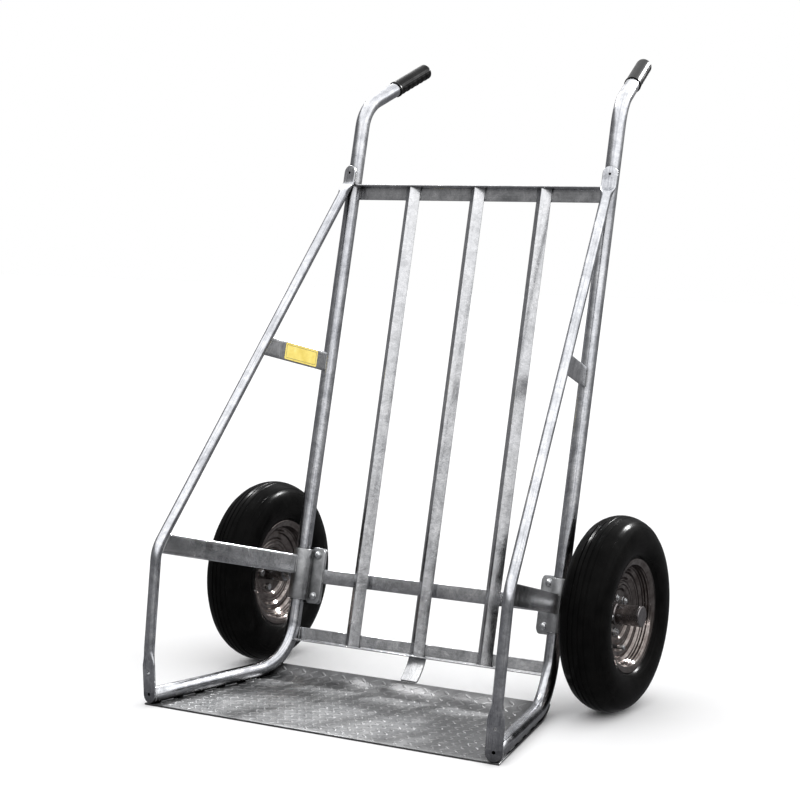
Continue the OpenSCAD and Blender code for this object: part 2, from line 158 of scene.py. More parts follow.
def galvanised(name, dark, mid, light, r0, r1, streak=0.0, flow=True, spangle=0.35, lumps=0.00012, metal=1.0, wave=0.3, painted_shade=(0.012, 0.30)):
    """Hot-dip zinc: crystal patches, blotches, drawn streaks along the part, a faintly lumpy skin and painted shade
    where surfaces meet.
    """
    m, N, L, B = nt(name)
    v = coord(N, L, False)
    vo = N.new("ShaderNodeTexVoronoi")
    vo.inputs["Scale"].default_value = 120
    vo.inputs["Randomness"].default_value = 1.0
    warp = N.new("ShaderNodeTexNoise")
    warp.inputs["Scale"].default_value = 60
    L.new(v, warp.inputs["Vector"])
    vm = N.new("ShaderNodeVectorMath")
    vm.operation = "MULTIPLY_ADD"
    vm.inputs[1].default_value = (0.012, 0.012, 0.012)
    L.new(warp.outputs["Color"], vm.inputs[0])
    L.new(v, vm.inputs[2])
    L.new(vm.outputs[0], vo.inputs["Vector"])
    sep = N.new("ShaderNodeSeparateColor")
    L.new(vo.outputs["Color"], sep.inputs[0])
    blot = noise(N, L, v, 26, 4, 0.65, 0.6)
    fine = noise(N, L, v, 210, 3, 0.6)
    big = noise(N, L, v, 5.5, 3, 0.5)
    base = ramp(N, L, blot, [(0.30, dark), (0.5, mid), (0.68, light)])
    sp = remap(N, L, sep.outputs[0], 0, 1, 1 - spangle * 0.55, 1 + spangle * 0.15)
    base = mix(N, L, 1.0, base, mix(N, L, 1.0, (1.0, 1.0, 1.0), sp, "MULTIPLY"), "MULTIPLY")
    fr = ramp(N, L, fine, [(0.32, (0.88, 0.88, 0.885)), (0.60, (1, 1, 1))])
    base = mix(N, L, 0.8, base, fr, "MULTIPLY")
    bg = ramp(N, L, big, [(0.34, (0.90, 0.905, 0.915)), (0.62, (1, 1, 1))])
    base = mix(N, L, 0.9, base, bg, "MULTIPLY")
    ro = remap(N, L, blot, 0.3, 0.7, r0, r1)
    if streak > 0:
        st = noise(N, L, stretch(N, L, coord(N, L, flow), (7, 420, 420)), 1.0, 3, 0.6)
        sc = ramp(N, L, st, [(0.36, (0.62, 0.62, 0.64)), (0.52, (1, 1, 1))])
        base = mix(N, L, streak, base, sc, "MULTIPLY")
    # painted shade: ambient occlusion darkens the base colour in corners, under parts and where parts meet
    L.new(paint_occlusion_shade(N, L, base, *painted_shade), B.inputs["Base Color"])
    B.inputs["Metallic"].default_value = metal
    L.new(ro, B.inputs["Roughness"])
    n0 = bump(N, L, B, noise(N, L, v, 11, 2, 0.5, 0.4), 0.0022, wave)
    n1 = bump(N, L, B, blot, 0.0008, 0.28, n0)
    bump(N, L, B, fine, lumps, 0.8, n1)
    return m

def plain_metal(name, c0, c1, r0, r1, scale=90, bscale=300, bd=0.00005, dist=0.004, low=0.5, tint=(1.0, 1.0, 1.0)):
    m, N, L, B = nt(name)
    v = coord(N, L, False)
    a = noise(N, L, v, scale, 4, 0.6)
    b = noise(N, L, v, bscale, 2, 0.5)
    # painted shade: ambient occlusion darkens the base colour in steps and corners
    L.new(paint_occlusion_shade(N, L, ramp(N, L, a, [(0.34, c0), (0.66, c1)]), dist, low, tint), B.inputs["Base Color"])
    B.inputs["Metallic"].default_value = 1.0
    L.new(remap(N, L, a, 0.3, 0.7, r1, r0), B.inputs["Roughness"])
    bump(N, L, B, b, bd, 0.7)
    return m

def rubber(name, c0, c1, r0, r1, spec, coat=0.0):
    m, N, L, B = nt(name)
    v = coord(N, L, False)
    a = noise(N, L, v, 34, 4, 0.6)
    b = noise(N, L, v, 900, 2, 0.5)
    L.new(ramp(N, L, a, [(0.35, c0), (0.7, c1)]), B.inputs["Base Color"])
    L.new(remap(N, L, a, 0.3, 0.7, r0, r1), B.inputs["Roughness"])
    B.inputs["Specular IOR Level"].default_value = spec
    if coat:
        B.inputs["Coat Weight"].default_value = coat
        B.inputs["Coat Roughness"].default_value = 0.12
        B.inputs["Coat IOR"].default_value = 1.4
    bump(N, L, B, b, 0.00006, 0.5)
    return m

# the last setting of each galvanised material is its painted shade (occlusion reach, darkest factor, tint, fade point);
# the tube's long reach darkens its underside near the toe plate
TUBE = galvanised("galvanised_tube", (0.54, 0.55, 0.575), (0.72, 0.73, 0.755), (0.88, 0.885, 0.90), 0.16, 0.27, 0.80, True, 0.22, painted_shade=(0.065, 0.10, (1.0, 0.96, 0.94), 0.97))
FLAT = galvanised("galvanised_bar", (0.60, 0.605, 0.615), (0.76, 0.765, 0.775), (0.90, 0.90, 0.91), 0.17, 0.28, 0.25, True, 0.28)
# the tread lenses get a lighter base than the sheet they stand on: a painted highlight for the light caught on their
# raised tops
TREAD = galvanised("galvanised_tread_lens", (0.125, 0.126, 0.128), (0.165, 0.166, 0.168), (0.21, 0.21, 0.212), 0.28, 0.40, 0.0, False, 0.2, metal=0.35, painted_shade=(0.050, 0.15))
PLATE = galvanised("galvanised_tread_plate", (0.095, 0.096, 0.098), (0.122, 0.123, 0.125), (0.155, 0.155, 0.157), 0.30, 0.42, 0.0, False, 0.25, metal=0.35, painted_shade=(0.050, 0.10))
CAST = galvanised("galvanised_bracket", (0.36, 0.365, 0.37), (0.47, 0.475, 0.48), (0.60, 0.605, 0.61), 0.34, 0.5, 0.0, False, 0.3, painted_shade=(0.016, 0.15))
WELD = galvanised("galvanised_weld", (0.32, 0.325, 0.33), (0.46, 0.465, 0.47), (0.62, 0.62, 0.63), 0.3, 0.5, 0.0, False, 0.2)
ZINC = plain_metal("zinc_plate", (0.52, 0.53, 0.54), (0.72, 0.73, 0.74), 0.18, 0.34)
# rim and hub: painted shade from ambient occlusion, tinted red-brown, deepens the rim's steps and the hub's joints
RIM = plain_metal("rim_chrome", (0.16, 0.135, 0.126), (0.32, 0.29, 0.275), 0.07, 0.14, 60, 240, 0.00004, 0.045, 0.04, (1.0, 0.66, 0.60))
HUBM = plain_metal("hub_steel", (0.20, 0.185, 0.185), (0.34, 0.325, 0.33), 0.20, 0.34, 90, 300, 0.00005, 0.03, 0.35, (1.0, 0.85, 0.82))
TYRE = rubber("tyre_rubber", (0.0028, 0.0028, 0.0028), (0.0050, 0.0049, 0.0048), 0.16, 0.24, 0.022)
INNER = rubber("inner_tube_rubber", (0.012, 0.012, 0.012), (0.02, 0.02, 0.02), 0.5, 0.65, 0.3)
GRIP = rubber("grip_rubber", (0.0015, 0.0015, 0.0015), (0.0045, 0.0045, 0.0045), 0.26, 0.38, 0.12)

def label_material():
    m, N, L, B = nt("label_film_yellow")
    v = coord(N, L, False)
    a = noise(N, L, v, 40, 4, 0.6)
    L.new(ramp(N, L, a, [(0.3, (0.62, 0.47, 0.08)), (0.6, (0.74, 0.60, 0.15)), (0.75, (0.80, 0.70, 0.28))]), B.inputs["Base Color"])
    L.new(remap(N, L, a, 0.3, 0.7, 0.3, 0.45), B.inputs["Roughness"])
    bump(N, L, B, noise(N, L, v, 260, 2), 0.00005, 0.5)
    return m
LABEL = label_material()

def print_material():
    m, N, L, B = nt("label_print_ochre")
    a = noise(N, L, coord(N, L, False), 120, 3)
    L.new(ramp(N, L, a, [(0.35, (0.10, 0.09, 0.05)), (0.7, (0.20, 0.17, 0.08))]), B.inputs["Base Color"])
    B.inputs["Roughness"].default_value = 0.5
    return m
PRINT = print_material()

# ---------------------------------------------------------------- mesh building
class Part:
    """Vertices in millimetres in a local frame, with a flow vector (metres; first axis runs along the piece)."""
    def __init__(self):
        self.v, self.f, self.w = [], [], []

    def loops(self, secs, flows=None, closed=False, caps=True):
        """Joins closed loops of equal length, one after another."""
        n, b = len(secs[0]), len(self.v)
        for i, s in enumerate(secs):
            self.v += [Vector(p) for p in s]
            self.w += [Vector(q) for q in (flows[i] if flows else [p * MM for p in map(Vector, s)])]
        m = len(secs)
        for i in range(m if closed else m - 1):
            k = (i + 1) % m
            for j in range(n):
                self.f.append((b + i * n + j, b + i * n + (j + 1) % n, b + k * n + (j + 1) % n, b + k * n + j))
        if caps and not closed:
            self.f.append(tuple(b + j for j in range(n)))
            self.f.append(tuple(b + (m - 1) * n + j for j in range(n)))

    def move(self, M, mirror=False):
        self.v = [M @ p for p in self.v]
        if mirror:
            self.v = [Vector((-p.x, p.y, p.z)) for p in self.v]
        return self

    def join(self, o):
        b = len(self.v)
        self.v += o.v
        self.w += o.w
        self.f += [tuple(b + i for i in f) for f in o.f]
        return self

def make(name, part, mat, body, slot, replaces=(), angle=32, bevel=0.0, segs=2, cuts=(), weld=True, mats=None):
    me = bpy.data.meshes.new(name)
    me.from_pydata([p * MM for p in part.v], [], part.f)
    bm = bmesh.new()
    bm.from_mesh(me)
    bmesh.ops.recalc_face_normals(bm, faces=bm.faces)
    bm.to_mesh(me)
    bm.free()
    o = bpy.data.objects.new(name, me)
    bpy.context.scene.collection.objects.link(o)
    tree = kdtree.KDTree(len(part.v))
    for i, p in enumerate(part.v):
        tree.insert(p * MM, i)
    tree.balance()
    if cuts:
        tools = []
        for c in cuts:
            cm = bpy.data.meshes.new("tool")
            cm.from_pydata([p * MM for p in c.v], [], c.f)
            bm = bmesh.new()
            bm.from_mesh(cm)
            bmesh.ops.recalc_face_normals(bm, faces=bm.faces)
            bm.to_mesh(cm)
            bm.free()
            t = bpy.data.objects.new("tool", cm)
            bpy.context.scene.collection.objects.link(t)
            tools.append(t)
            md = o.modifiers.new("cut", "BOOLEAN")
            md.operation, md.solver, md.object = "DIFFERENCE", "EXACT", t
        bpy.context.view_layer.update()
        dg = bpy.context.evaluated_depsgraph_get()
        new = bpy.data.meshes.new_from_object(o.evaluated_get(dg))
        o.modifiers.clear()
        o.data = new
        for t in tools:
            bpy.data.objects.remove(t)
        new.name = name
        me = new
    bm = bmesh.new()
    bm.from_mesh(me)
    bmesh.ops.remove_doubles(bm, verts=bm.verts, dist=1e-6)
    bmesh.ops.dissolve_degenerate(bm, edges=bm.edges, dist=1e-7)
    bm.to_mesh(me)
    bm.free()
    for at in [a.name for a in me.attributes if a.name == "flow"]:
        me.attributes.remove(me.attributes[at])
    at = me.attributes.new("flow", "FLOAT_VECTOR", "POINT")
    vals = []
    for v in me.vertices:
        i = tree.find(v.co)[1]
        vals += list(part.w[i])
    at.data.foreach_set("vector", vals)
    for x in (mats or [mat]):
        me.materials.append(x)
    for p in me.polygons:
        p.use_smooth = True
    me.set_sharp_from_angle(angle=rad(angle))
    if bevel:
        md = o.modifiers.new("edge", "BEVEL")
        md.width, md.segments, md.limit_method, md.angle_limit = bevel * MM, segs, "ANGLE", rad(38)
        md.use_clamp_overlap = True
        md.harden_normals = True
    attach(o, body)
    if replaces:
        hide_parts(*replaces)
    return o

def circle(c, u, w, r, n):
    return [c + u * (r * cos(2 * pi * j / n)) + w * (r * sin(2 * pi * j / n)) for j in range(n)]

def fillet_path(pts, radii, step=5.0, long=70.0):
    """Planar polyline with rounded corners: list of (point, tangent)."""
    pts = [Vector(p) for p in pts]
    out = []
    start = pts[0]
    for i in range(1, len(pts) - 1):
        d0, d1 = (pts[i] - pts[i - 1]).normalized(), (pts[i + 1] - pts[i]).normalized()
        turn = d0.angle(d1)
        tl = radii[i - 1] * tan(turn / 2)
        a, b = pts[i] - d0 * tl, pts[i] + d1 * tl
        n = max(1, int((a - start).length / long))
        out += [(start.lerp(a, k / n), d0) for k in range(n)]
        axis = d0.cross(d1).normalized()
        c = a + axis.cross(d0) * radii[i - 1]
        m = max(2, int(math.degrees(turn) / step))
        for k in range(m):
            q = Matrix.Rotation(turn * k / m, 3, axis)
            out.append((c + q @ (a - c), q @ d0))
        start = b
    d = (pts[-1] - pts[-2]).normalized()
    n = max(1, int((pts[-1] - start).length / long))
    out += [(start.lerp(pts[-1], k / n), d) for k in range(n + 1)]
    return out

X = Vector((1, 0, 0))

def lens(path):
    s, out = 0.0, [0.0]
    for i in range(1, len(path)):
        s += (path[i][0] - path[i - 1][0]).length
        out.append(s)
    return out

def tube_part(path, r, wall, n=40, lip=0.5):
    """Hollow tube with softened rims."""
    P = Part()
    s = lens(path)
    secs, fl = [], []
    def add(i, rr, back=0.0):
        p, t = path[i]
        w = X.cross(t)
        secs.append(circle(p + t * back, X, w, rr, n))
        fl.append([Vector((s[i] * MM, rr * MM * cos(2 * pi * j / n), rr * MM * sin(2 * pi * j / n))) for j in range(n)])
    last = len(path) - 1
    add(0, r - lip)
    add(0, r - lip * 0.3, lip * 0.3)
    add(0, r, lip)
    for i in range(1, last):
        add(i, r)
    add(last, r, -lip)
    add(last, r - lip * 0.3, -lip * 0.3)
    add(last, r - lip)
    add(last, r - wall + lip)
    add(last, r - wall, -lip)
    for i in range(last - 1, 0, -1):
        add(i, r - wall)
    add(0, r - wall, lip)
    add(0, r - wall + lip)
    P.loops(secs, fl, closed=True)
    return P

def rounded(a, b, c, k=5):
    """Rounded rectangle, half sizes a and b, corner radius c: list of (x, y)."""
    out = []
    c = min(c, a, b)
    for q, (sx, sy) in enumerate(((1, 1), (-1, 1), (-1, -1), (1, -1))):
        for i in range(k + 1):
            t = pi / 2 * (q + i / k)
            out.append((sx * (a - c) + c * cos(t), sy * (b - c) + c * sin(t)))
    return out

def arc_pts(cx, cy, r, a0, a1, n):
    return [(cx + r * cos(rad(a0 + (a1 - a0) * i / n)), cy + r * sin(rad(a0 + (a1 - a0) * i / n))) for i in range(n + 1)]

def prism(poly, axis_from, axis_to, place, soft=0.0):
    """Extrudes a 2D outline; place maps (p, q, along) to a local point."""
    P = Part()
    secs, fl = [], []
    steps = max(1, int(abs(axis_to - axis_from) / 90))
    for k in range(steps + 1):
        a = axis_from + (axis_to - axis_from) * k / steps
        secs.append([place(p, q, a) for p, q in poly])
        fl.append([Vector((a, p, q)) * MM for p, q in poly])
    P.loops(secs, fl)
    return P

def cyl_tool(M, r, z0, z1, n=40):
    P = Part()
    P.loops([circle(Vector((0, 0, z)), X, Vector((0, 1, 0)), r, n) for z in (z0, z1)])
    return P.move(M)

def lathe(profile, n=72, closed=True, axis="X", wob=None):
    """Revolves (along, radius) points about X (or Z). closed: the profile is a closed outline."""
    P = Part()
    secs, fl = [], []
    for k, (a, r) in enumerate(profile):
        ring, fw = [], []
        for j in range(n):
            t = 2 * pi * j / n
            rr, aa = (r, a) if wob is None else wob(k, a, r, t)
            ring.append(Vector((aa, rr * cos(t), rr * sin(t))) if axis == "X" else Vector((rr * cos(t), rr * sin(t), aa)))
            fw.append(Vector((t * 0.15, aa * MM, rr * MM)))
        secs.append(ring)
        fl.append(fw)
    P.loops(secs, fl, closed=closed, caps=not closed)
    return P

def round_corners(pts, r, n=4, closed=False):
    """Replaces each corner of a 2D outline by an arc of radius r (or r[i])."""
    out, m = [], len(pts)
    for i in range(m):
        if not closed and i in (0, m - 1):
            out.append(pts[i])
            continue
        p, a, b = Vector(pts[i]), Vector(pts[i - 1]), Vector(pts[(i + 1) % m])
        rr = r[i] if isinstance(r, (list, tuple)) else r
        d0, d1 = (a - p), (b - p)
        l0, l1 = d0.length, d1.length
        d0.normalize(); d1.normalize()
        ang = d0.angle(d1)
        if rr <= 0 or ang > pi - 0.02:
            out.append(tuple(p))
            continue
        tl = min(rr / tan(ang / 2), l0 * 0.48, l1 * 0.48)
        r2 = tl * tan(ang / 2)
        bis = (d0 + d1).normalized()
        c = p + bis * (r2 / sin(ang / 2))
        s, e = p + d0 * tl - c, p + d1 * tl - c
        tot = s.angle_signed(e)
        for k in range(n + 1):
            t = -tot * k / n
            out.append((c.x + s.x * cos(t) - s.y * sin(t), c.y + s.x * sin(t) + s.y * cos(t)))
    return out

SIDES = (("left", True), ("right", False))

# ---------------------------------------------------------------- main tubes
main_path = fillet_path([(0, -E_TOE[0], E_TOE[1]), (0, 0, S_BOT), (0, 0, S_TOP),
                         (0, HAND_L * sin(rad(HAND_A)), S_TOP + HAND_L * cos(rad(HAND_A)))], [TOE_R, HAND_R], 4.0)
for s, mir in SIDES:
    make(s + "_upright", tube_part(main_path, MR, WALL, 44).move(M_SIDE, mir), TUBE, "frame", "galvanised", (s + "_main_tube",))

# ---------------------------------------------------------------- brace tubes
def smooth(t): return t * t * (3 - 2 * t)

def brace_part():
    k = 7
    secs, fl, acc = [], [], [0.0, None]
    def add(c, t, a, b, cr):
        w = X.cross(t)
        if acc[1] is not None:
            acc[0] += (c - acc[1]).length
        acc[1] = c
        ring = rounded(a, b, cr, k)
        secs.append([c + X * p + w * q for p, q in ring])
        fl.append([Vector((acc[0], p, q)) * MM for p, q in ring])
    down = Vector((0, 0, -1))
    bu = (Vector((0, -B_BEND[0], B_BEND[1])) - Vector((0, -B_TOP[0], B_TOP[1]))).normalized()
    end = Vector((0, -B_TOP[0], B_TOP[1])) + bu * 36
    for th in (86, 74, 60, 45, 30, 15):
        a = 16 * cos(rad(th))
        add(Vector((0, -MR - 2.5, 912 + 16 * sin(rad(th)))), down, max(a, 1.2), 2.5 if th < 80 else 2.1, 1.1)
    for z in (912, 900, 890):
        add(Vector((0, -MR - 2.5, z)), down, 16, 2.5, 1.3)
    top = Vector((0, -MR - 2.5, 886))
    for i in range(1, 13):
        u = smooth(i / 12)
        c = top.lerp(end, i / 12) + Vector((0, -1, 0)) * (2.0 * sin(pi * i / 12))
        t = down.lerp(bu, u).normalized()
        add(c, t, 16 + (BR - 16) * u, 2.5 + (BR - 2.5) * smooth(min(1, i / 11)), 1.3 + (BR - 1.3) * u)
    path = fillet_path([end, (0, -B_BEND[0], B_BEND[1]), (0, -B_LOW[0], B_LOW[1])], [B_R], 3.0)
    for p, t in path[1:]:
        add(p, t, BR, BR, BR)
    ca, sa = cos(rad(ALPHA)), sin(rad(ALPHA))
    def foot(yy, zz): return Vector((0, -E_TOE[0] + yy * ca - zz * sa, E_TOE[1] + yy * sa + zz * ca))
    fdir = Vector((0, sa, -ca))
    c0, t0 = path[-1]
    c1 = foot(-2.5, 61)
    for i in range(1, 12):
        u = smooth(i / 12)
        c = c0.lerp(c1, i / 12)
        add(c, t0.lerp(fdir, u).normalized(), BR + (17 - BR) * u, BR + (2.5 - BR) * smooth(min(1, (i + 1) / 12)), BR + (1.3 - BR) * u)
    for zz in (61, 55, 40, 20, 8, 2):
        add(foot(-2.5, zz), fdir, 17, 2.5, 1.3)
    for th in (15, 30, 45, 60, 74, 86):
        a = 17 * cos(rad(th))
        add(foot(-2.5, 2 - 17 * sin(rad(th))), fdir, max(a, 1.2), 2.5 if th < 80 else 2.1, 1.1)
    P = Part()
    P.loops(secs, fl)
    return P

def mirror_part(P):
    P.v = [Vector((-p.x, p.y, p.z)) for p in P.v]
    return P

for s, mir in SIDES:
    tools = [cyl_tool(M_SIDE @ T(0, -MR - 2.5, 911) @ R(90, "X"), 3.0, -6, 8, 28),
             cyl_tool(M_FOOT @ T(0, -2.5, 47) @ R(90, "X"), 3.5, -6, 8, 28),
             cyl_tool(M_FOOT @ T(0, -2.5, 3) @ R(90, "X"), 3.5, -6, 8, 28)]
    if mir:
        tools = [mirror_part(t) for t in tools]
    make(s + "_brace", brace_part().move(M_SIDE, mir), TUBE, "frame", "galvanised", (s + "_brace_tube",), cuts=tools, bevel=0.5, segs=2)

# ---------------------------------------------------------------- side bars
BT = Vector((B_BEND[0] - B_TOP[0], B_BEND[1] - B_TOP[1]))
A1 = math.atan2(BT.x, -BT.y)
A2 = math.atan2(B_BEND[0] - B_LOW[0], B_BEND[1] - B_LOW[1])
def brace_back(q):
    v = min(B_TOP[0] + (B_TOP[1] - q) * tan(A1) - BR / cos(A1), B_BEND[0] - (B_BEND[1] - q) * tan(A2) - BR / cos(A2))
    return v - 3 * max(0, 1 - abs(q - B_BEND[1]) / 26) ** 2

LOWER = {"left": 30, "right": 14}
def side_bar(s0, t0):
    P = Part()
    secs, fl = [], []
    rows = [s0 - 21, s0 - 20.2, s0 - 19.6] + [s0 - 14 + 28 * k / 6 for k in range(7)] + [s0 + 19.6, s0 + 20.2, s0 + 21]
    for i, q in enumerate(rows):
        e = abs(q - s0)
        hw = 2.5 if e < 19.7 else (2.2 if e < 20.5 else 1.5)
        t1 = brace_back(q) + 0.4
        xs = [t0 + (t1 - t0) * k / 8 for k in range(9)]
        ring = [(hw, t) for t in xs] + [(-hw, t) for t in reversed(xs)]
        secs.append([Vector((x, -t, q)) for x, t in ring])
        fl.append([Vector((t, x, q)) * MM for x, t in ring])
    P.loops(secs, fl)
    return P

for s, mir in SIDES:
    for nm, c, t0 in (("upper", 482, MR * 0.985), ("lower", LOWER[s], MR + 3.7)):
        make(f"{s}_{nm}_flat_bar", side_bar(c, t0).move(M_SIDE, mir), FLAT, "frame", "galvanised", (f"{s}_{nm}_bar",), angle=50)

# ---------------------------------------------------------------- crossbars and slats
def angle_outline(p1, q1, t, heel=1.4, toe=1.1, inner=2.6):
    """L with its heel at (0, 0), one leg along p, one along q."""
    pts = [(0, 0), (p1, 0), (p1, t), (t, t), (t, q1), (0, q1)]
    return round_corners(pts, [heel, toe, toe, inner, toe, toe], 4, closed=True)

def upright_tools():
    out = []
    for m in (False, True):
        t = cyl_tool(M_UP, MR - 0.05, -260, 1100, 48)
        out.append(mirror_part(t) if m else t)
    return out

bh = HX - MR + 6
top_out = angle_outline(BAR_H, 25, BAR_T)          # p runs down the face, q runs forward
make("top_crossbar_angle", prism(top_out, -bh, bh, lambda p, q, a: Vector((a, 10 - q, BAR_TOP - p))).move(M_LEAN), FLAT, "frame", "galvanised", ("top_crossbar",), cuts=upright_tools())
make("lower_crossbar_angle", prism(top_out, -bh, bh, lambda p, q, a: Vector((a, 10 - q, BAR_LOW + p))).move(M_LEAN), FLAT, "frame", "galvanised", ("lower_crossbar",), cuts=upright_tools())

slat_out = angle_outline(25, 25, 3)
def slat_place(x0):
    r2 = 1 / math.sqrt(2)
    y0 = 7 - 28 * r2
    return lambda p, q, a: Vector((x0 + (p - q) * r2, y0 + (p + q) * r2, a))
for nm, x0 in (("left", -160), ("centre", 0), ("right", 160)):
    make(nm + "_slat_angle", prism(slat_out, BAR_LOW + BAR_T, BAR_TOP - BAR_T, slat_place(x0)).move(M_LEAN), FLAT, "frame", "galvanised", (nm + "_slat",))

mid_out = round_corners([(-2.5, -15.5), (2.5, -15.5), (2.5, 15.5), (-2.5, 15.5)], 1.2, 4, closed=True)
mh = HX - MR - 33.5
make("middle_flat_bar", prism(mid_out, -mh, mh, lambda p, q, a: Vector((a, MR + 2.5 + p, AX_S + q))).move(M_LEAN), FLAT, "frame", "galvanised", ("middle_crossbar",), bevel=0.6)

# ---------------------------------------------------------------- centre strap
STRAP_R = 110.0
strap_s = (TOE_T + 2.5 - WR) / cos(rad(LEAN)) + 12.5 * tan(rad(LEAN))
st = STRAP_R * tan(rad((90 - LEAN) / 2))
def strap_part():
    rows = [(Vector((0, 12.5, z)), Vector((0, 0, -1))) for z in (-108.0, -112.0)]
    c = Vector((0, 12.5 - STRAP_R, strap_s + st))
    total = 90 - LEAN - 33.6
    for k in range(1, 25):
        a = rad(total * k / 24)
        rows.append((c + Vector((0, STRAP_R * cos(a), -STRAP_R * sin(a))), Vector((0, -sin(a), -cos(a)))))
    P = Part()
    ring = rounded(20, 2.5, 1.2, 3)
    secs, fl, s = [], [], 0
    n = len(rows)
    for i, (p, t) in enumerate(rows):
        w = X.cross(t)
        k = 0.94 if i in (0, n - 1) else 1
        s += 3
        secs.append([p + X * (a * k) + w * (b * k) for a, b in ring])
        fl.append([Vector((s, a, b)) * MM for a, b in ring])
    P.loops(secs, fl)
    return P
make("centre_strap_bar", strap_part().move(M_LEAN), FLAT, "frame", "galvanised", ("centre_strap",))

# ---------------------------------------------------------------- toe plate with raised tread
Y_FRONT = UP_Y + E_TOE[1] * sin(rad(LEAN)) - E_TOE[0] * cos(rad(LEAN)) * cos(rad(SPLAY)) - 9.2
P_Y0 = Y_FRONT + 5.2
TB = TOE_R * tan(rad((90 - ALPHA) / 2))
CURL_R = TOE_R + MR
CURL_Y = UP_Y - (WR - TOE_T - MR) * tan(rad(LEAN)) - TB * cos(rad(ALPHA)) * cos(rad(LEAN)) * cos(rad(SPLAY)) - TB * sin(rad(ALPHA)) * sin(rad(LEAN))
CURL_A = 32.3
SLOPE = (405.0 - 318.0) / (-48 - P_Y0)
def half_w(y): return 405 - SLOPE * (y - P_Y0)
FLAT_L = CURL_Y - P_Y0
CURL_L = CURL_R * rad(CURL_A)
def on_plate(l, h):
    """(y, z) and normal at distance l from the front edge, h above the top face."""
    if l <= FLAT_L:
        return P_Y0 + l, TOE_T + h, (0.0, 1.0)
    a = (l - FLAT_L) / CURL_R
    return CURL_Y + (CURL_R - h) * sin(a), TOE_T + CURL_R - (CURL_R - h) * cos(a), (-sin(a), cos(a))

def plate_part():
    P = Part()
    end = FLAT_L + CURL_L
    ls = [0, 0.35, 0.9] + [FLAT_L * k / 12 for k in range(1, 13)] + [FLAT_L + CURL_L * k / 20 for k in range(1, 20)] + [end - 0.9, end - 0.35, end]
    ls = sorted(set(round(l, 3) for l in ls))
    secs, fl = [], []
    for l in ls:
        e = min(l, end - l)
        hh = 2.0 if e > 0.8 else (1.75 if e > 0.3 else 1.2)
        y, _, _ = on_plate(l, -2.0)
        ring = rounded(half_w(y), hh, 0.8, 3)
        sec = []
        for a, b in ring:
            yy, zz, _ = on_plate(l, -2.0 + b)
            sec.append(Vector((a, yy, zz)))
        secs.append(sec)
        fl.append([p * MM for p in sec])
    P.loops(secs, fl)
    return P

def drop(P, x, l, turn):
    """One raised lens of the tread."""
    L0, W0, H0, n = 10.0, 2.9, 1.25, 10
    c, s = cos(rad(turn)), sin(rad(turn))
    rings = []
    for f, h in ((1.0, -0.4), (0.97, 0.08), (0.76, 0.62), (0.42, 0.88)):
        ring = []
        for j in range(n):
            t = 2 * pi * j / n
            u, w = cos(t), sin(t)
            u = u * L0 * f
            w = w * W0 * f * (1 - 0.35 * abs(cos(t)) ** 2)
            ring.append((x + u * c - w * s, l + u * s + w * c, h))
        rings.append(ring)
    secs = []
    for ring in rings:
        sec = []
        for a, b, h in ring:
            y, z, nn = on_plate(b, h if l < FLAT_L else h * 0.6)
            sec.append(Vector((a, y, z)))
        secs.append(sec)
    P.loops(secs)

def tread_part():
    P = Part()
    end = FLAT_L + CURL_L
    i = 0
    for j in range(1, 60):
        l = 12.8 * j + 2
        if l > end - 10:
            break
        y = on_plate(l, 0)[0]
        w = half_w(y) - 14
        for i in range(-17, 18):
            x = 25.0 * i
            if abs(x) > w:
                continue
            drop(P, x, l, 38 if (i + j) % 2 else 142)
    P.move(T(0, AXLE_Y, 0))
    return P

pl = plate_part().move(T(0, AXLE_Y, 0))
make("toe_plate_sheet", pl, PLATE, "frame", "galvanised", ("toe_plate",), angle=40)
tread = make("toe_plate_tread", tread_part(), TREAD, "frame", "galvanised", (), angle=50)

# ---------------------------------------------------------------- grips
def grip_part():
    z0, z1 = GRIP0, HAND_L + 3
    P = Part()
    n = 96
    prof = [(z0, 16.05), (z0, 17.6), (z0 + 0.8, 18.4), (z0 + 4.8, 18.45), (z0 + 5.8, 17.9), (z0 + 6.2, 17.3)]
    k = 60
    for i in range(k + 1):
        z = z0 + 6.6 + (z1 - 4.5 - z0 - 6.6) * i / k
        prof.append((z, 17.55))
    for a in (25, 50, 72, 90):
        prof.append((z1 - 4.2 + 4.2 * sin(rad(a)), 17.55 - 4.2 + 4.2 * cos(rad(a))))
    prof += [(z1, 6.0), (z1 - 3.0, 5.6), (z1 - 3.0, 0.6)]
    secs, fl = [], []
    for z, r in prof:
        ring, fw = [], []
        u = (z - z0 - 10) / (z1 - z0 - 16)
        for j in range(n):
            t = 2 * pi * j / n
            rr = r
            if 0 <= u <= 1 and r > 17:
                under = max(0.0, sin(t))                 # local +Y is the finger side underneath
                wave = 0.5 - 0.5 * cos(2 * pi * u * 6)
                step = max(0.0, under) ** 0.7
                rr -= 1.25 * step * (1 - wave) ** 1.5
                flute = max(0.0, cos(t * 18)) * (0.35 if abs(sin(t)) < 0.75 else 0.0)
                rr -= flute * min(1, u * 12) * min(1, (1 - u) * 12)
            ring.append(Vector((rr * cos(t), rr * sin(t), z)))
            fw.append(Vector((z * MM, t * 0.02, 0)))
        secs.append(ring)
        fl.append(fw)
    P.loops(secs, fl)
    return P
for s, mir in SIDES:
    make(s + "_rubber_grip", grip_part().move(M_GRIP, mir), GRIP, "frame", "grip_rubber", (s + "_grip",), angle=40)

